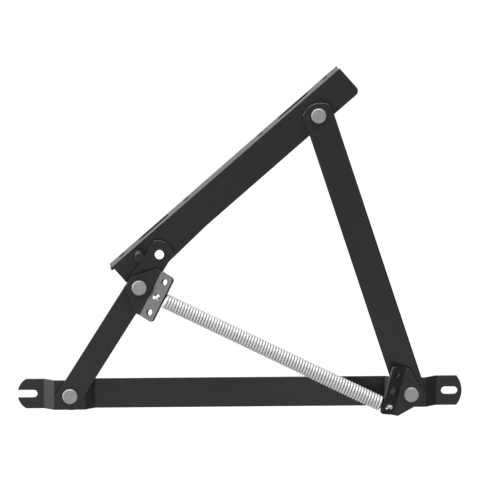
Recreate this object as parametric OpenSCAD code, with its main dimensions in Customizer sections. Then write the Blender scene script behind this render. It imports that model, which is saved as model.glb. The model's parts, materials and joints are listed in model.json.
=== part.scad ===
// Spring lift mechanism: a folding four-bar bed or seat lifter with a tension spring.
// The wall face of the base rail lies in the plane y = 0, midway between the two base pivots.
// The viewer looks along +Y, so everything in front of the wall has a negative y.

/* [Base rail] */
// Distance between the two base pivots
base_pitch = 342; // [320:1:400]
// Height of the flat bar
base_h = 30; // [28:0.5:40]
// Thickness of the flat bar
base_t = 3; // [2:0.5:4]
// How far each pivot pad steps forward of the bar
joggle = 9; // [6:0.5:12]
// Length along the bar of each sloped step
joggle_run = 10.3; // [7:0.1:13]
// Half the length of a pivot pad
pad_half = 15.5; // [14:0.5:18]
// Rear pivot to the tip of the rear tab
rear_tab = 52; // [48:0.1:70]
// Depth of the rounding at the rear tab's tip
rear_tab_bulge = 8.6; // [5:0.1:12]
// Front pivot to the tip of the front tab
front_tab = 51.6; // [50:0.1:70]
// Depth of the rounding at the front tab's tip
front_tab_bulge = 5.3; // [4:0.1:8]
// Width of the screw slots in both tabs
tab_slot_w = 7.6; // [5:0.1:10]
// Tip of the rear tab to the bottom of its open slot
rear_slot_depth = 20; // [14:0.5:21]
// Overall length of the closed slot in the front tab
front_slot_len = 16.4; // [12:0.1:20]
// Tip of the front tab to the near end of its slot
front_slot_edge = 4.4; // [3:0.1:5]

/* [Rear arm] */
// Pivot to pivot
rear_arm_pitch = 169.5; // [160:0.5:180]
// Width of the arm
rear_arm_w = 24.5; // [22:0.5:28]
// Thickness of the arm
rear_arm_t = 4; // [3:0.5:4.5]
// Pivot to the tip at each end
rear_arm_over = 14; // [13:0.5:15]
// Depth of the rounding at each tip
rear_arm_bulge = 5.3; // [4:0.1:8]
// Base pivot to the spring bracket's pivot
bracket_at = 131; // [120:0.5:134]
// Angle of the arm above the base rail when the mechanism is open
rear_arm_open = 58; // [50:1:66]

/* [Front arm] */
// Pivot to pivot
front_arm_pitch = 298.5; // [285:0.5:315]
// Width of the arm
front_arm_w = 30; // [26:0.5:34]
// Thickness of the arm
front_arm_t = 5; // [4.5:0.5:7]
// Pivot to the tip at each end
front_arm_over = 12.9; // [12:0.1:16]
// Depth of the rounding at each tip
front_arm_bulge = 7.6; // [4:0.1:10]

/* [Top rail] */
// Distance between the two top pivots
rail_pitch = 212; // [200:1:230]
// Thickness of the angle section
rail_t = 3; // [2:0.5:4]
// Pivot line up to the top face
rail_up = 21.1; // [20:0.1:26]
// Pivot line down to the lower edge
rail_down = 10.2; // [9:0.1:14]
// Pivot line down to the lower edge at the rear end
heel_down = 15.2; // [14:0.1:20]
// Length over which the lower edge drops to the heel
heel_run = 97.5; // [60:0.5:120]
// Rear top pivot to the rear end of the web
rail_rear = 44; // [38:0.5:60]
// Front top pivot to the front end of the web
rail_front = 46.5; // [38:0.5:60]
// Corner radius at the front end
toe_r = 5.5; // [2:0.5:8]
// Corner radius at the heel
heel_r = 5; // [2:0.5:8]
// Depth of the top flange, from the web's front face back
flange_w = 25; // [22:0.5:34]
// How far the flange is cut behind the web at both ends
flange_shift = 2.6; // [0:0.1:4]
// Flange's back edge to the row of screw holes
flange_hole_in = 7.5; // [6.5:0.1:8.5]
// Radius of the round screw holes
flange_hole_r = 3.5; // [2:0.1:4.5]
// Middle of the flange to each outer round hole
outer_hole_at = 135; // [125:0.5:140]
// Middle of the flange to each inner round hole
inner_hole_at = 49.3; // [30:0.1:58]
// Middle of the flange to each slot's centre
flange_slot_at = 92.8; // [88:0.1:98]
// Overall length of a flange slot
flange_slot_len = 39.5; // [20:0.5:50]
// Width of a flange slot
flange_slot_w = 8; // [5:0.1:10]

/* [Rivets and washers] */
// Radius of a rivet's head
head_r = 7.5; // [6:0.1:9]
// Thickness of a rivet's head
head_t = 3.5; // [2.5:0.1:4.5]
// Radius of the rounded edge of a head
head_edge_r = 1; // [0.5:0.1:1.5]
// Radius of a rivet's shank
shank_r = 4; // [3:0.1:5]
// Radius of an upset tail
tail_r = 6; // [5.5:0.1:7.5]
// Thickness of an upset tail
tail_t = 2.5; // [1.5:0.1:3.5]
// Radius of the plain pin at the rear top pivot
pin_r = 4.6; // [4:0.1:5.5]
// How far that pin stands in front of the arm
pin_proud = 1; // [0.5:0.1:2]
// Radius of that pin's upset tail
pin_tail_r = 7; // [6:0.1:8]
// Outer radius of every washer
washer_r = 9.5; // [8.5:0.1:11]
// Thickness of the washers behind the arms
washer_t = 1; // [0.5:0.1:1.5]
// Thickness of the washer under the front spring bracket
bracket_washer_t = 1; // [0.8:0.1:2]
// Radial running clearance of a turning joint
running_fit = 0.08; // [0.05:0.01:0.1]
// Radial play of a washer on its shank
washer_play = 0.2; // [0.1:0.05:0.4]

/* [Stop stud] */
// Radius of the stud
stud_r = 4.7; // [4:0.1:4.8]
// Length of the stud in front of the web
stud_len = 22; // [12:0.5:26]
// Distance of the stud behind the rear top pivot, along the open arm
stud_behind = 10.5; // [10:0.1:12]
// Gap between the stud and the edge of the open arm
stud_gap = 0.3; // [0.2:0.05:0.5]
// Radius of the spigot through the web
spigot_r = 3; // [2:0.1:3.6]
// Radius of the riveted-over end of the spigot
spigot_head_r = 4.2; // [3.8:0.1:4.4]
// Thickness of the riveted-over end
spigot_head_t = 1.5; // [1:0.1:2.5]

/* [Spring brackets] */
// Radius of the round end about the pivot
bracket_r = 12.75; // [11:0.25:13]
// Thickness of the sheet
bracket_t = 3; // [2:0.5:3.5]
// Half the length of the bent flange
bracket_half = 25; // [22:0.5:30]
// Angle of the two flaring edges to the bracket's axis
bracket_flare = 44; // [42:1:56]
// Pivot to the bend line
bend_at = 12.4; // [12:0.1:16]
// How far the flange is bent towards the viewer
bend_angle = 40; // [30:1:45]
// Inner radius of the bend
bend_r = 2; // [1:0.1:3]
// Bend line to the free edge of the flange
bracket_flange = 17.1; // [13:0.1:18]
// Corner radius of the flange
bracket_corner_r = 4; // [1:0.5:5]
// Bend line to the row of spring holes
bracket_hole_out = 9.2; // [7:0.1:9.6]
// Distance between neighbouring spring holes
bracket_hole_pitch = 17; // [14:0.1:18]
// Radius of a spring hole
bracket_hole_r = 3.25; // [2.5:0.05:3.5]
// Direction in which the front bracket is clamped
front_bracket_angle = 165.4; // [155:0.1:172]

/* [Spring] */
// Diameter of the wire
wire_d = 3; // [2:0.1:3.5]
// Outer diameter of the coil
spring_od = 15.5; // [14:0.1:16]
// Distance between neighbouring turns
spring_pitch = 2.97; // [2.5:0.01:3.4]
// Radius of the bend that forms each hook
hook_bend_r = 3; // [3:0.1:5]
// Straight stretch between the coil and the hook's bend
hook_lead = 0.2; // [0.2:0.1:2]
// How far the hook's end passes through the bracket
hook_tail = 4; // [2:0.5:8]
// Gap between the wire and the edge of its hole
hook_gap = 0.25; // [0.1:0.05:0.4]
// Gap between the last turn and the front hook
coil_gap = 0.2; // [0.2:0.05:0.5]

/* [Hidden] */
$fn = 72;

black_coat = [0.19, 0.19, 0.20];
zinc = [0.62, 0.62, 0.63];
bright_zinc = [0.95, 0.95, 0.96];
spring_steel = [0.85, 0.85, 0.87];
nylon = [0.92, 0.92, 0.88];

// Steps of the stack towards the viewer, as y of each face
pad_back = -joggle;
pad_front = pad_back - base_t;
arm_back = pad_front - washer_t;
rear_arm_front = arm_back - rear_arm_t;
front_arm_front = arm_back - front_arm_t;
web_front = arm_back + washer_t;
web_back = web_front + rail_t;
bracket_back = front_arm_front - bracket_washer_t;
bracket_front = bracket_back - bracket_t;

// Pivots as [x, z] with the mechanism open
rear_base = [-base_pitch / 2, 0];
front_base = [base_pitch / 2, 0];
rear_top = rear_base + polar(rear_arm_pitch, rear_arm_open);
front_top = upper_crossing(rear_top, rail_pitch, front_base, front_arm_pitch);
bracket_pivot = rear_base + polar(bracket_at, rear_arm_open);
rail_angle = heading(rear_top, front_top);
front_arm_angle = heading(front_base, front_top);

// Radii and half-thicknesses used by more than one piece
wire_r = wire_d / 2;
coil_r = spring_od / 2 - wire_r;
turning_r = shank_r + running_fit;
washer_bore = shank_r + washer_play;

// The hook's place in its hole, in the bracket's own frame
hook_seat = bracket_hole_r - wire_r - hook_gap;
hook_out = bend_at + (bracket_hole_out + hook_seat) * cos(bend_angle)
    + bracket_t / 2 * sin(bend_angle);
hook_rise = bracket_t + (bracket_hole_out + hook_seat) * sin(bend_angle)
    - bracket_t / 2 * cos(bend_angle);
bend_tangent = bend_r * tan(bend_angle / 2);
bend_start = bend_at - bend_tangent;
bend_steps = 8;
corner_cross = 0.02;

// The spring lies on the line from the rear bracket's pivot to the front hook
front_hook = front_base + turned([hook_out, bracket_hole_pitch], front_bracket_angle);
spring_angle = heading(bracket_pivot, front_hook);
rear_hook = bracket_pivot + polar(hook_out, spring_angle);
spring_y = bracket_back - hook_rise;
hook_turn = 90 - bend_angle;
hook_leg = (coil_r - hook_bend_r * (1 - cos(hook_turn))) / cos(bend_angle);
hook_start = hook_bend_r * sin(hook_turn) + hook_leg * sin(bend_angle);
coil_start = hook_start + hook_lead + coil_gap + wire_r;
coil_span = norm(front_hook - rear_hook) - 2 * coil_start;
coil_steps = round(coil_span / spring_pitch);

// The stop stud touches the open rear arm from behind
stud_place = turned([-stud_behind, rear_arm_w / 2 + stud_gap + stud_r], rear_arm_open - rail_angle);

// Ends of the top rail along its own pivot line
web_ends = [-rail_rear, rail_pitch + rail_front];
flange_ends = [for (end = web_ends) end - flange_shift];
flange_middle = (flange_ends[0] + flange_ends[1]) / 2;
flange_back = web_front + flange_w;
hole_row = flange_back - flange_hole_in;

function polar(r, a) = [r * cos(a), r * sin(a)];
function turned(p, a) = [p.x * cos(a) - p.y * sin(a), p.x * sin(a) + p.y * cos(a)];
function heading(p, q) = atan2(q.y - p.y, q.x - p.x);
function bulge_r(w, bulge) = (w * w / 4 + bulge * bulge) / (2 * bulge);

// Upper meeting point of a circle about p and a circle about q
function upper_crossing(p, p_r, q, q_r) =
    let (d = norm(q - p), along = (p_r * p_r - q_r * q_r + d * d) / (2 * d),
        aside = sqrt(p_r * p_r - along * along))
    p + turned([along, aside], heading(p, q));

// Puts a flat piece in front of the plane y, drawn as [x, z]
module facing(y) translate([0, y, 0]) rotate([90, 0, 0]) children();
module sheet(back, t) facing(back) linear_extrude(t) children();

// Moves a piece to a pivot and turns its own x axis to the angle given
module at_pivot(p, angle = 0) translate([p.x, 0, p.y]) rotate([0, -angle, 0]) children();

// Round bar along y, from the face at back to the face at front
module rod(r, back, front) facing(back) cylinder(r = r, h = back - front);

module washer(back, front, bore) facing(back) difference() {
    cylinder(r = washer_r, h = back - front);
    translate([0, 0, -1]) cylinder(r = bore, h = back - front + 2);
}

// Flat-topped head with a rounded edge, standing in front of the plane at back
module rivet_head(back) facing(back) rotate_extrude() {
    square([head_r, head_t - head_edge_r]);
    square([head_r - head_edge_r, head_t]);
    intersection() {
        translate([head_r - head_edge_r, head_t - head_edge_r]) circle(head_edge_r);
        square([head_r, head_t]);
    }
}

module rivet(head_back, tail_front) {
    rivet_head(head_back);
    rod(shank_r, tail_front, head_back);
    rod(tail_r, tail_front + tail_t, tail_front);
}

// Flat bar outline with a shallow arc at each end
module bar_outline(x0, x1, w, bulge0, bulge1) {
    r0 = bulge_r(w, bulge0);
    r1 = bulge_r(w, bulge1);
    intersection() {
        translate([x0, -w / 2]) square([x1 - x0, w]);
        union() {
            translate([x0 + r0, 0]) circle(r0);
            translate([x0 + r0, -w]) square([x1 - r1 - x0 - r0, 2 * w]);
            translate([x1 - r1, 0]) circle(r1);
        }
    }
}

module slot_outline(len, w) {
    square([len - w, w], center = true);
    for (side = [-1, 1]) translate([side * (len - w) / 2, 0]) circle(w / 2);
}

// Section of the base rail seen from above, stepped forward at each pivot
module base_section() {
    mitre = base_t * tan(atan2(joggle, joggle_run) / 2);
    tips = [rear_base.x - rear_tab, front_base.x + front_tab];
    reach = pad_half + joggle_run;
    front = [for (p = [rear_base.x, front_base.x])
        each [[p - reach, -base_t], [p - pad_half, pad_front],
              [p + pad_half, pad_front], [p + reach, -base_t]]];
    back = [for (p = [front_base.x, rear_base.x])
        each [[p + reach - mitre, 0], [p + pad_half - mitre, pad_back],
              [p - pad_half + mitre, pad_back], [p - reach + mitre, 0]]];
    polygon(concat([[tips[0], -base_t]], front, [[tips[1], -base_t], [tips[1], 0]],
        back, [[tips[0], 0]]));
}

module base_rail() color(black_coat) {
    x0 = rear_base.x - rear_tab;
    x1 = front_base.x + front_tab;
    depth = joggle + 2 * base_t;
    rear_slot_end = x0 + rear_slot_depth - tab_slot_w / 2;
    front_slot_mid = x1 - front_slot_edge - front_slot_len / 2;
    intersection() {
        translate([0, 0, -base_h / 2]) linear_extrude(base_h) base_section();
        sheet(base_t, depth + base_t) difference() {
            bar_outline(x0, x1, base_h, rear_tab_bulge, front_tab_bulge);
            translate([rear_slot_end, 0]) circle(tab_slot_w / 2);
            translate([x0 - 1, -tab_slot_w / 2]) square([rear_slot_end - x0 + 1, tab_slot_w]);
            translate([front_slot_mid, 0]) slot_outline(front_slot_len, tab_slot_w);
            for (p = [rear_base, front_base]) translate(p) circle(shank_r);
        }
    }
}

module rear_base_rivet() color(zinc) at_pivot(rear_base) rivet(rear_arm_front, pad_back);

module front_base_rivet() color(zinc) at_pivot(front_base) rivet(bracket_front, pad_back);

module rear_base_washer() color(nylon)
    at_pivot(rear_base) washer(pad_front, arm_back, washer_bore);

module front_base_washer() color(nylon)
    at_pivot(front_base) washer(pad_front, arm_back, washer_bore);

module front_bracket_washer() color(nylon)
    at_pivot(front_base) washer(front_arm_front, bracket_back, washer_bore);

module rear_arm() color(black_coat) at_pivot(rear_base, rear_arm_open)
    sheet(arm_back, rear_arm_t) difference() {
        bar_outline(-rear_arm_over, rear_arm_pitch + rear_arm_over, rear_arm_w,
            rear_arm_bulge, rear_arm_bulge);
        circle(turning_r);
        translate([bracket_at, 0]) circle(shank_r);
        translate([rear_arm_pitch, 0]) circle(pin_r + running_fit);
    }

module bracket_rivet() color(zinc) at_pivot(bracket_pivot) {
    rivet_head(bracket_front);
    rod(shank_r, arm_back, bracket_front);
}

module front_arm() color(black_coat) at_pivot(front_base, front_arm_angle)
    sheet(arm_back, front_arm_t) difference() {
        bar_outline(-front_arm_over, front_arm_pitch + front_arm_over, front_arm_w,
            front_arm_bulge, front_arm_bulge);
        circle(turning_r);
        translate([front_arm_pitch, 0]) circle(shank_r);
    }

// Web of the angle section, with its lower edge dropping towards the heel
module web_outline() {
    x0 = web_ends[0];
    x1 = web_ends[1];
    drop = atan2(heel_down - rail_down, heel_run);
    heel = [x0 + heel_r, heel_r * tan(drop) - heel_down + heel_r / cos(drop)];
    toe = [x1 - toe_r, toe_r - rail_down];
    polygon([[x0, rail_up], [x1, rail_up], [x1, toe.y], toe, [toe.x, -rail_down],
        [x0 + heel_run, -rail_down], heel + polar(heel_r, drop - 90), heel, [x0, heel.y]]);
    translate(heel) circle(heel_r);
    translate(toe) circle(toe_r);
}

// Flange seen from above, drawn as [x, y]
module flange_outline() difference() {
    translate([flange_ends[0], web_front])
        square([flange_ends[1] - flange_ends[0], flange_w]);
    for (side = [-1, 1]) translate([flange_middle, hole_row]) {
        translate([side * outer_hole_at, 0]) circle(flange_hole_r);
        translate([side * inner_hole_at, 0]) circle(flange_hole_r);
        translate([side * flange_slot_at, 0]) slot_outline(flange_slot_len, flange_slot_w);
    }
}

module top_rail() color(black_coat) at_pivot(rear_top, rail_angle) {
    sheet(web_back, rail_t) difference() {
        web_outline();
        circle(pin_r);
        translate([rail_pitch, 0]) circle(shank_r);
        translate(stud_place) circle(spigot_r);
    }
    translate([0, 0, rail_up - rail_t]) linear_extrude(rail_t) flange_outline();
}

module stop_stud() color(black_coat) at_pivot(rear_top, rail_angle) at_pivot(stud_place) {
    rod(stud_r, web_front, web_front - stud_len);
    rod(spigot_r, web_back, web_front);
    rod(spigot_head_r, web_back + spigot_head_t, web_back);
}

module rear_top_pin() color(bright_zinc) at_pivot(rear_top) {
    rod(pin_r, web_back, rear_arm_front - pin_proud);
    rod(pin_tail_r, web_back + tail_t, web_back);
}

module rear_top_washer() color(nylon)
    at_pivot(rear_top) washer(web_front, arm_back, pin_r + washer_play);

module front_top_rivet_tail() color(zinc) at_pivot(front_top) {
    rod(shank_r, web_back, web_front);
    rod(tail_r, web_back + tail_t, web_back);
}

module front_top_rivet() color(zinc) at_pivot(front_top) {
    rivet_head(front_arm_front);
    rod(shank_r, web_front, front_arm_front);
}

module front_top_washer() color(nylon)
    at_pivot(front_top) washer(web_front, arm_back, washer_bore);

// Section across the bend, with the flange rising towards the viewer
module bracket_section() {
    mid = [bend_start, bracket_t + bend_r];
    turns = [for (step = [0 : bend_steps]) bend_angle * step / bend_steps - 90];
    run = polar(bracket_flange + bracket_t, bend_angle);
    polygon(concat([[-bracket_r - 1, bracket_t], [-bracket_r - 1, 0]],
        [for (a = turns) mid + polar(bend_r + bracket_t, a)],
        [mid + polar(bend_r + bracket_t, bend_angle - 90) + run,
         mid + polar(bend_r, bend_angle - 90) + run],
        [for (step = [bend_steps : -1 : 0]) mid + polar(bend_r, turns[step])]));
}

// What is cut from the flat part: all outside the round end and the two flaring edges
module plate_waste() {
    wide = bracket_half + 1;
    shoulder = polar(bracket_r, 90 + bracket_flare);
    side_x = shoulder.x + (wide - shoulder.y) / tan(bracket_flare);
    difference() {
        translate([-bracket_r - 2, -wide]) square([side_x + bracket_r + 2, 2 * wide]);
        circle(bracket_r);
        polygon([shoulder, [side_x, wide], [side_x, -wide], [shoulder.x, -shoulder.y]]);
    }
}

// What is cut from the flange: all outside its free edge and the two corner arcs,
// which cross the sides at a slight angle instead of only touching them
module flange_waste() {
    wide = bracket_half + 1;
    reach = bracket_flange - bend_tangent;
    round_x = reach - bracket_corner_r;
    round_y = bracket_half - bracket_corner_r + corner_cross;
    difference() {
        translate([round_x, -wide]) square([bracket_corner_r + 2 * bracket_t, 2 * wide]);
        translate([round_x - 1, -round_y]) square([bracket_corner_r + 1, 2 * round_y]);
        for (side = [-1, 1]) translate([round_x, side * round_y]) circle(bracket_corner_r);
    }
}

// Spring bracket in its own frame, x from the pivot towards the spring
module bracket(hole_r) facing(bracket_back) difference() {
    rotate([90, 0, 0]) translate([0, 0, -bracket_half])
        linear_extrude(2 * bracket_half) bracket_section();
    translate([0, 0, -1]) linear_extrude(bracket_t + 2) {
        plate_waste();
        circle(hole_r);
    }
    translate([bend_start, 0, bracket_t + bend_r]) rotate([0, -bend_angle, 0])
        translate([0, 0, -bend_r - bracket_t - 1]) linear_extrude(bracket_t + 2) {
            flange_waste();
            for (step = [-1, 0, 1])
                translate([bracket_hole_out - bend_tangent, step * bracket_hole_pitch])
                    circle(bracket_hole_r);
        }
}

module front_spring_bracket() color(black_coat)
    at_pivot(front_base, front_bracket_angle) bracket(shank_r);

module rear_spring_bracket() color(black_coat)
    at_pivot(bracket_pivot, spring_angle) bracket(turning_r);

module rear_bracket_washer() color(nylon)
    at_pivot(bracket_pivot) washer(rear_arm_front, bracket_back, washer_bore);

// Wire from the coil's end round the bend and through its hole, x towards the coil
module hook(lead) {
    arc_mid = [hook_start, 0, hook_bend_r - coil_r];
    translate([hook_start, 0, -coil_r]) rotate([0, 90, 0]) cylinder(r = wire_r, h = lead);
    translate(arc_mid) rotate([90, 0, 0]) rotate([0, 0, -90 - hook_turn])
        rotate_extrude(angle = hook_turn) translate([hook_bend_r, 0]) circle(wire_r);
    translate(arc_mid) rotate([0, -bend_angle, 0]) translate([-hook_bend_r, 0, 0])
        cylinder(r = wire_r, h = hook_leg + bracket_t / 2 + hook_tail);
}

// Close-wound body as a ribbed revolve, one rib a turn
module coil() rotate([0, 90, 0]) rotate_extrude()
    for (turn = [0 : coil_steps])
        translate([coil_r, turn * coil_span / coil_steps]) circle(wire_r);

module lift_spring() color(spring_steel) at_pivot(rear_hook, spring_angle) facing(spring_y) {
    translate([coil_start, 0, 0]) coil();
    hook(coil_start - hook_start);
}

module spring_front_hook() color(spring_steel)
    at_pivot(front_hook, spring_angle + 180) facing(spring_y) hook(hook_lead);

base_rail();
rear_base_rivet();
front_base_rivet();
rear_base_washer();
front_base_washer();
front_bracket_washer();
front_spring_bracket();
rear_arm();
bracket_rivet();
top_rail();
stop_stud();
rear_top_pin();
rear_top_washer();
front_top_rivet_tail();
front_arm();
front_top_rivet();
front_top_washer();
rear_spring_bracket();
rear_bracket_washer();
lift_spring();
spring_front_hook();
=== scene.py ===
import bmesh
import bpy
import json
import math
from mathutils import Matrix, Vector


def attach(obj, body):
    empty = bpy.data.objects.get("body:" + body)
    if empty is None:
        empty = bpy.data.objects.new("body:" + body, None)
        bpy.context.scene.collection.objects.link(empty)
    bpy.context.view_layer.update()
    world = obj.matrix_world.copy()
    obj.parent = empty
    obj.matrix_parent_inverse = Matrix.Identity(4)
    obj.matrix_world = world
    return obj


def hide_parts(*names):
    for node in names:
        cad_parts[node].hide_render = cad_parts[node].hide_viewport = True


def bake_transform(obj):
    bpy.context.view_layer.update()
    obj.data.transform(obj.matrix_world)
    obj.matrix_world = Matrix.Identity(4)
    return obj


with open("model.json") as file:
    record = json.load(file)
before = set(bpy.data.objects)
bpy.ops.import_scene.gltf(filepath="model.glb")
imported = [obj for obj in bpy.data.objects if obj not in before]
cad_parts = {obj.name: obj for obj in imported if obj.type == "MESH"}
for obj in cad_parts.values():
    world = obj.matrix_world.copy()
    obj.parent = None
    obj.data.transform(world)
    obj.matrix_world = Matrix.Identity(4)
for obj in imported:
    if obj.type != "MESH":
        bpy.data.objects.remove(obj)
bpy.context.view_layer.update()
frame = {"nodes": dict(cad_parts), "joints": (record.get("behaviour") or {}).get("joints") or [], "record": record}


def addObject(name, data):
    made = bpy.data.objects.new(name, data)
    bpy.context.scene.collection.objects.link(made)
    return made


def aim(thing, direction):
    thing.rotation_euler = direction.to_track_quat("-Z", "Y").to_euler()


# Camera, at the photograph's viewing angle

cameraSettings = {
    "azimuth": 2.40,                  # degrees, standing a little to the left of the front
    "elevation": 10.918,              # degrees above level
    "distance": 12.8,                 # metres from the target
    "target": (0.0, -0.012, 0.140),
    "frameWidth": 0.4799,             # metres across the picture at the target
    "pictureSize": 480,               # pixels each way
    "targetPixel": (240.35, 256.62),  # where the target falls in the picture
    "sensor": 36.0,                   # millimetres
    "clipStart": 0.5,                 # metres
    "clipEnd": 100.0,
}


def makeCamera(view):
    camera = addObject("camera", bpy.data.cameras.new("camera"))
    azimuth, elevation = math.radians(view["azimuth"]), math.radians(view["elevation"])
    back = Vector((-math.sin(azimuth) * math.cos(elevation),
                   -math.cos(azimuth) * math.cos(elevation),
                   math.sin(elevation)))
    camera.location = Vector(view["target"]) + back * view["distance"]
    aim(camera, -back)
    across, down = view["targetPixel"]
    camera.data.sensor_width = view["sensor"]
    camera.data.lens = view["sensor"] * view["distance"] / view["frameWidth"]
    camera.data.shift_x = (view["pictureSize"] / 2 - across) / view["pictureSize"]
    camera.data.shift_y = (down - view["pictureSize"] / 2) / view["pictureSize"]
    camera.data.clip_start, camera.data.clip_end = view["clipStart"], view["clipEnd"]
    bpy.context.scene.camera = camera


makeCamera(cameraSettings)
print("camera made")


# Shader maths: a wrapped socket that can be added and multiplied like a number

class Wire:
    def __init__(self, graph, socket):
        self.graph = graph
        self.socket = socket

    def maths(self, operation, first, second, clamp=False):
        settings = {"operation": operation, "use_clamp": clamp}
        return self.graph.node("ShaderNodeMath", settings, {0: first, 1: second})

    def __add__(self, other):
        return self.maths("ADD", self, other)

    def __radd__(self, other):
        return self.maths("ADD", other, self)

    def __sub__(self, other):
        return self.maths("SUBTRACT", self, other)

    def __rsub__(self, other):
        return self.maths("SUBTRACT", other, self)

    def __mul__(self, other):
        return self.maths("MULTIPLY", self, other)

    def __rmul__(self, other):
        return self.maths("MULTIPLY", other, self)

    # kept between 0 and 1
    def clamped(self):
        return self.maths("ADD", self, 0.0, True)


class Graph:
    def __init__(self, tree):
        self.tree = tree
        tree.nodes.clear()

    # any node: its type, its settings, its inputs by name or number, and the output to hand back
    def node(self, kind, settings=None, inputs=None, output=0):
        made = self.tree.nodes.new(kind)
        for name, value in (settings or {}).items():
            if name == "stops":
                self.setStops(made.color_ramp, value)
            else:
                setattr(made, name, value)
        for name, value in (inputs or {}).items():
            if isinstance(value, Wire):
                self.tree.links.new(value.socket, made.inputs[name])
            else:
                made.inputs[name].default_value = value
        if len(made.outputs):
            return Wire(self, made.outputs[output])

    def setStops(self, ramp, stops):
        for i, (place, shade) in enumerate(stops):
            stop = ramp.elements[i] if i < len(ramp.elements) else ramp.elements.new(place)
            stop.position = place
            stop.color = grey(shade)

    # the Mix node has sockets for every kind of value, so its colour sockets go by number
    def mixColour(self, factor, first, second):
        inputs = {0: factor, 6: first, 7: second}
        return self.node("ShaderNodeMix", {"data_type": "RGBA"}, inputs, output=2)


def grey(value, warmth=0.0):
    return (value * (1 + warmth), value, value * (1 - warmth), 1)


def newMaterial(name):
    material = bpy.data.materials.new(name)
    material.use_nodes = True
    return material, Graph(material.node_tree)


# Finishes: a fine grain and a soft cloud vary the colour, and the grain the gloss and relief too

grainPattern = {
    "detail": 3.0,
    "roughness": 0.6,
    "contrast": ((0.35, 0.0), (0.65, 1.0)),  # all dark up to the first stop, all light from the next
}

powderCoat = {
    "darkColour": grey(0.0060), "lightColour": grey(0.0085),
    "grainScale": 1300.0, "cloudScale": 45.0, "grainShare": 0.6,
    "roughness": 0.33, "roughnessSpread": 0.10, "bumpStrength": 0.25, "bumpDepth": 0.00003,
    "metallic": 0.0, "specular": 0.22,
}

zincPlate = {
    "darkColour": grey(0.205), "lightColour": grey(0.235),
    "grainScale": 900.0, "cloudScale": 120.0, "grainShare": 0.5,
    "roughness": 0.60, "roughnessSpread": 0.10, "bumpStrength": 0.25, "bumpDepth": 0.00002,
    "metallic": 1.0, "specular": 0.5,
}

pinFace = {
    "darkColour": grey(0.95), "lightColour": grey(0.98),
    "grainScale": 800.0, "cloudScale": 150.0, "grainShare": 0.5,
    "roughness": 0.30, "roughnessSpread": 0.08, "bumpStrength": 0.1, "bumpDepth": 0.00001,
    "metallic": 0.85, "specular": 0.5,
}

springWire = {
    "darkColour": grey(0.35), "lightColour": grey(0.39),
    "grainScale": 700.0, "cloudScale": 60.0, "grainShare": 0.5,
    "roughness": 0.62, "roughnessSpread": 0.08, "bumpStrength": 0.2, "bumpDepth": 0.00002,
    "metallic": 0.90, "specular": 0.5,
}

nylonWhite = {
    "darkColour": grey(0.72, 0.02), "lightColour": grey(0.80, 0.02),
    "grainScale": 500.0, "cloudScale": 80.0, "grainShare": 0.5,
    "roughness": 0.55, "roughnessSpread": 0.10, "bumpStrength": 0.15, "bumpDepth": 0.00003,
    "metallic": 0.0, "specular": 0.25,
}


def makeFinish(name, look):
    material, graph = newMaterial(name)
    place = graph.node("ShaderNodeTexCoord", output="Object")
    grain = graph.node("ShaderNodeTexNoise", None, {
        "Vector": place, "Scale": look["grainScale"],
        "Detail": grainPattern["detail"], "Roughness": grainPattern["roughness"]})
    cloud = graph.node("ShaderNodeTexNoise", None, {"Vector": place, "Scale": look["cloudScale"]})
    spread = (grain * look["grainShare"] + cloud * (1 - look["grainShare"])).clamped()
    contrast = graph.node("ShaderNodeValToRGB", {"stops": grainPattern["contrast"]},
                          {"Fac": spread})
    colour = graph.mixColour(contrast, look["darkColour"], look["lightColour"])
    roughness = (look["roughness"] + (grain - 0.5) * look["roughnessSpread"]).clamped()
    relief = graph.node("ShaderNodeBump", None, {
        "Strength": look["bumpStrength"], "Distance": look["bumpDepth"], "Height": grain})
    shader = graph.node("ShaderNodeBsdfPrincipled", None, {
        "Base Color": colour, "Roughness": roughness, "Normal": relief,
        "Metallic": look["metallic"], "Specular IOR Level": look["specular"]})
    graph.node("ShaderNodeOutputMaterial", None, {"Surface": shader})
    return material


finishes = {                   # by the record's material slots
    "black_powder_coat": makeFinish("black powder coat", powderCoat),
    "zinc_plate": makeFinish("zinc plate", zincPlate),
    "bright_pin": makeFinish("bright pin", pinFace),
    "spring_wire": makeFinish("spring wire", springWire),
    "nylon": makeFinish("nylon", nylonWhite),
}


def dressNodes():
    for part in frame["record"]["subparts"]:
        node = frame["nodes"][part["node"]]
        node.data.materials.clear()
        node.data.materials.append(finishes[part["material_slot"]])


dressNodes()
print("materials made and put on the CAD nodes")


# Painted parts with their cut edges rounded off, each in place of its CAD node

roundedParts = {               # metres, the radius of each part's edges
    "base_rail": 0.00055,
    "rear_arm": 0.00095,
    "front_arm": 0.00110,
    "top_rail": 0.00055,
    "rear_spring_bracket": 0.00035,
    "front_spring_bracket": 0.00080,
    "stop_stud": 0.00060,
}

edgeRules = {
    "steps": 3,            # faces across a rounded edge
    "weld": 0.000002,      # metres, under which two points become one
    "flatAngle": 0.6,      # degrees, under which neighbouring faces are merged
    "cutAngle": 38.0,      # degrees, over which an edge that points outwards is rounded
    "smoothAngle": 32.0,   # degrees, under which an edge is shaded as a curve
}


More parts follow.
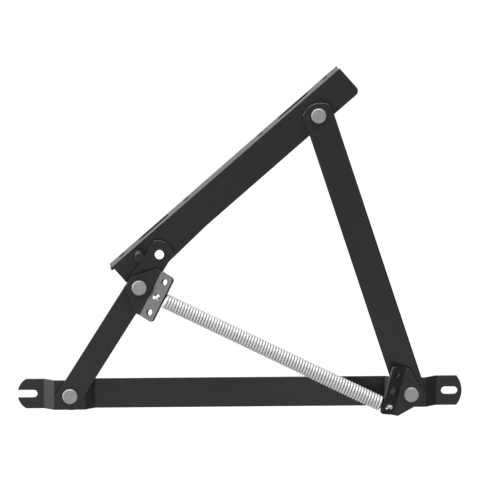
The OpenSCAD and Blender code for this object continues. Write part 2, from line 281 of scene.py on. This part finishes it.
def roundedCopy(name, radius, rules):
    bm = bmesh.new()
    bm.from_mesh(frame["nodes"][name].data)
    bmesh.ops.remove_doubles(bm, verts=bm.verts, dist=rules["weld"])
    bmesh.ops.dissolve_limit(bm, verts=bm.verts, edges=bm.edges,
                             angle_limit=math.radians(rules["flatAngle"]))
    cutAngle, smoothAngle = math.radians(rules["cutAngle"]), math.radians(rules["smoothAngle"])
    cut = [edge for edge in bm.edges
           if edge.is_manifold and edge.calc_face_angle_signed() > cutAngle]
    bmesh.ops.bevel(bm, geom=cut, offset=radius, offset_type="OFFSET", segments=rules["steps"],
                    profile=0.5, affect="EDGES", clamp_overlap=False, loop_slide=True)
    bmesh.ops.recalc_face_normals(bm, faces=bm.faces)
    for face in bm.faces:
        face.smooth = True
    for edge in bm.edges:
        edge.smooth = edge.calc_face_angle(0) < smoothAngle
    mesh = bpy.data.meshes.new(name + "_rounded")
    bm.to_mesh(mesh)
    bm.free()
    return mesh


def bodyOf(name):
    bodies = frame["record"]["behaviour"]["bodies"]
    return next(body for body, names in bodies.items() if name in names)


def makeRoundedPart(name, radius):
    piece = addObject(name + "_rounded", roundedCopy(name, radius, edgeRules))
    weighted = piece.modifiers.new("even normals", "WEIGHTED_NORMAL")
    weighted.keep_sharp = True
    piece.data.materials.append(finishes["black_powder_coat"])
    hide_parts(name)
    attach(piece, bodyOf(name))


for partName, partRadius in roundedParts.items():
    makeRoundedPart(partName, partRadius)
print("edges rounded on", len(roundedParts), "parts")


# The tension spring, one wire with a hook at each end, in metres

spring = {
    "wireRadius": 0.00147,      # a hair less than half of 3 mm
    "coilRadius": 0.00625,      # to the middle of the wire
    "turns": 81,
    "span": 0.25436,            # hook point to hook point
    "hookOut": 0.02156,         # rear bracket's pivot to the rear hook point
    "axisY": -0.02773,          # the coil's middle line, towards the viewer from the rail
    "bracketBend": 40.0,        # degrees that the brackets' flanges are bent
    "tipOut": 0.0032,           # the wire's end, out from the flange's middle
    "tipAside": 0.0031,         # and along the flange, away from the coil
    "tipUp": 0.0003,            # and up across the coil
    "tipLift": 0.0009,          # the handle of the curl at the wire's end, out from the flange
    "tipPull": 0.0052,          # and down along it
    "exitAt": 0.0006,           # out of the flange's middle, where the wire starts to curl over
    "exitPull": 0.0034,         # reach of the curl's other handle
    "legEnd": 0.0020,           # how far behind the hole the straight leg turns to the coil
    "legPull": 0.0045,          # reach of the first handle of that turn
    "turnPull": 0.0050,         # reach of its second handle
    "joinAngle": 110.0,         # degrees into the first turn of the coil where it arrives
    "headingStep": 0.001,       # turns, to the next point, which gives the coil's heading there
    "coilStart": 0.00651,       # hook point to the start of the coil
    "blendStart": 0.00950,      # hook point to where the stretch starts
    "sides": 12,                # faces round the wire
    "endShrink": 0.72,          # share of the radius that is left at the wire's two cut ends
    "archSteps": 14,            # steps along the curl over the flange
    "legSteps": 4,              # along the straight leg
    "curlSteps": 16,            # along the turn to the coil
    "stepsPerTurn": 30,         # round the coil
}


# the points between the two ends of a Bezier curve
def bezierPoints(start, startHandle, endHandle, end, steps):
    points = []
    for i in range(1, steps):
        t = i / steps
        points.append(start * (1 - t) ** 3 + startHandle * (3 * t * (1 - t) ** 2)
                      + endHandle * (3 * t * t * (1 - t)) + end * t ** 3)
    return points


def helixPoint(sizes, turn):
    angle = 2 * math.pi * turn
    pitch = (sizes["span"] - 2 * sizes["coilStart"]) / sizes["turns"]
    return Vector((sizes["coilStart"] + pitch * turn,
                   sizes["coilRadius"] * math.sin(angle),
                   -sizes["coilRadius"] * math.cos(angle)))


# the rear hook from its tip to the coil, in the spring's own frame: x along the coil,
# y up across it, z towards the viewer, from the hook point in the middle of the flange
def hookPath(sizes):
    bend = math.radians(sizes["bracketBend"])
    inward = Vector((math.sin(bend), 0, -math.cos(bend)))
    aside = Vector((-math.cos(bend), 0, -math.sin(bend)))
    tip = aside * sizes["tipAside"] - inward * sizes["tipOut"] + Vector((0, sizes["tipUp"], 0))
    tipHandle = tip - inward * sizes["tipLift"] - Vector((0, sizes["tipPull"], 0))
    legStart = inward * -sizes["exitAt"]
    legEnd = inward * (sizes["legEnd"] / math.cos(bend))
    legHandle = legStart - inward * sizes["exitPull"]
    arch = bezierPoints(tip, tipHandle, legHandle, legStart, sizes["archSteps"])
    leg = [legStart.lerp(legEnd, i / sizes["legSteps"]) for i in range(sizes["legSteps"] + 1)]
    join = sizes["joinAngle"] / 360
    enter = helixPoint(sizes, join)
    heading = (helixPoint(sizes, join + sizes["headingStep"]) - enter).normalized()
    curl = bezierPoints(legEnd, legEnd + inward * sizes["legPull"],
                        enter - heading * sizes["turnPull"], enter, sizes["curlSteps"])
    return [tip] + arch + leg + curl


# hook, coil, and the same hook turned end for end
def springPath(sizes):
    rear = hookPath(sizes)
    join = sizes["joinAngle"] / 360
    turns = sizes["turns"] - 2 * join
    steps = int(turns * sizes["stepsPerTurn"])
    coil = [helixPoint(sizes, join + turns * i / steps) for i in range(steps + 1)]
    front = [Vector((sizes["span"] - point.x, -point.y, point.z)) for point in reversed(rear)]
    return rear + coil + front


# a closed tube along the points, with a small chamfer at both ends
def tubeMesh(name, points, sizes):
    tangents = []
    for i in range(len(points)):
        before, after = points[max(i - 1, 0)], points[min(i + 1, len(points) - 1)]
        tangents.append((after - before).normalized())
    across = tangents[0].orthogonal().normalized()
    sides, last = sizes["sides"], len(points) - 1
    verts, faces = [], []
    for i, (point, tangent) in enumerate(zip(points, tangents)):
        if i:
            across = tangents[i - 1].rotation_difference(tangent) @ across
        across = (across - tangent * across.dot(tangent)).normalized()
        other = tangent.cross(across)
        radius = sizes["wireRadius"] * (sizes["endShrink"] if i in (0, last) else 1)
        for k in range(sides):
            angle = 2 * math.pi * k / sides
            verts.append(point + across * (radius * math.cos(angle))
                         + other * (radius * math.sin(angle)))
    for i in range(last):
        ring, nextRing = i * sides, (i + 1) * sides
        for k in range(sides):
            n = (k + 1) % sides
            faces.append((ring + k, ring + n, nextRing + n, nextRing + k))
    faces.append(tuple(reversed(range(sides))))
    faces.append(tuple(range(last * sides, len(points) * sides)))
    mesh = bpy.data.meshes.new(name)
    mesh.from_pydata([tuple(v) for v in verts], [], faces)
    mesh.validate()
    mesh.shade_smooth()
    return mesh


def jointNamed(name):
    return next(joint for joint in frame["joints"] if joint["name"] == name)


def makeSpring(sizes):
    pivot = Vector(jointNamed("rear_bracket_swivel")["pos_m"])
    along = Vector(jointNamed("spring_stretch")["axis"])
    viewer = Vector((0, -1, 0))
    up = viewer.cross(along)
    origin = Vector((pivot.x, sizes["axisY"], pivot.z)) + along * sizes["hookOut"]
    place = Matrix((along, up, viewer)).transposed()
    points = [origin + place @ point for point in springPath(sizes)]
    piece = addObject("tension_spring", tubeMesh("tension_spring", points, sizes))
    piece.data.materials.append(finishes["spring_wire"])
    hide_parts("lift_spring", "spring_front_hook")
    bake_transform(piece)


makeSpring(spring)
print("spring wound")


# Floor, background and lamps

studio = {
    "floorHeight": -0.30,
    "floorSize": 24.0,
    "floorColour": grey(0.45),
    "floorGlow": 0.80,           # share of the glow that the eye sees on the floor
    "glowColour": grey(1.0),
    "glowStrength": 1.27,
    "skyColour": grey(0.20),     # light from all round
    "skySeen": grey(1.0),        # and what the eye sees there
}

# a grey board beyond the right end, which keeps that side of the black paint dark
flag = {
    "x": 0.62,
    "y": (-2.2, 0.4),
    "z": (-0.29, 0.75),
    "colour": grey(0.24),
    "roughness": 0.9,
}

lamps = {
    "key": {"place": (-0.20, -0.50, 1.85), "width": 3.0, "height": 0.6, "power": 125.0},
    "left": {"place": (-1.95, -0.34, 0.42), "width": 1.1, "height": 1.2, "power": 58.0},
    "low": {"place": (0.10, -0.60, -0.26), "width": 0.7, "height": 0.4, "power": 0.8},
}


def addQuad(name, corners, material):
    mesh = bpy.data.meshes.new(name)
    mesh.from_pydata(corners, [], [(0, 1, 2, 3)])
    mesh.materials.append(material)
    return addObject(name, mesh)


# 1 for what the camera sees, straight or in a shiny or clear surface
def eyeSees(graph):
    rays = ("Is Camera Ray", "Is Glossy Ray", "Is Transmission Ray")
    camera, glossy, clear = [graph.node("ShaderNodeLightPath", output=ray) for ray in rays]
    return (camera + glossy + clear).clamped()


def makeFloor(settings):
    material, graph = newMaterial("pale floor")
    matt = graph.node("ShaderNodeBsdfDiffuse", None, {"Color": settings["floorColour"]})
    glow = graph.node("ShaderNodeEmission", None, {
        "Color": settings["glowColour"], "Strength": settings["glowStrength"]})
    share = eyeSees(graph) * settings["floorGlow"]
    mixed = graph.node("ShaderNodeMixShader", None, {0: share, 1: matt, 2: glow})
    graph.node("ShaderNodeOutputMaterial", None, {"Surface": mixed})
    half, height = settings["floorSize"] / 2, settings["floorHeight"]
    corners = [(x * half, y * half, height) for x, y in ((-1, -1), (1, -1), (1, 1), (-1, 1))]
    floor = addQuad("floor", corners, material)


def makeFlag(settings):
    material, graph = newMaterial("grey board")
    inputs = {"Color": settings["colour"], "Roughness": settings["roughness"]}
    matt = graph.node("ShaderNodeBsdfDiffuse", None, inputs)
    graph.node("ShaderNodeOutputMaterial", None, {"Surface": matt})
    x, (front, back), (low, high) = settings["x"], settings["y"], settings["z"]
    corners = [(x, front, low), (x, back, low), (x, back, high), (x, front, high)]
    board = addQuad("flag", corners, material)
    board.visible_camera = False


def makeWorld(settings):
    world = bpy.data.worlds.new("studio")
    bpy.context.scene.world = world
    world.use_nodes = True
    graph = Graph(world.node_tree)
    colour = graph.mixColour(eyeSees(graph), settings["skyColour"], settings["skySeen"])
    background = graph.node("ShaderNodeBackground", None, {"Color": colour})
    graph.node("ShaderNodeOutputWorld", None, {"Surface": background})


def makeLamp(name, settings):
    lamp = addObject(name, bpy.data.lights.new(name, "AREA"))
    lamp.data.shape = "RECTANGLE"
    lamp.data.size, lamp.data.size_y = settings["width"], settings["height"]
    lamp.data.energy = settings["power"]
    lamp.location = settings["place"]
    lamp.visible_camera = False
    aim(lamp, Vector(cameraSettings["target"]) - Vector(settings["place"]))


makeFloor(studio)
makeFlag(flag)
makeWorld(studio)
for lampName, lampSettings in lamps.items():
    makeLamp(lampName, lampSettings)
bpy.context.scene.view_settings.view_transform = "Standard"
print("floor, background and lamps made")
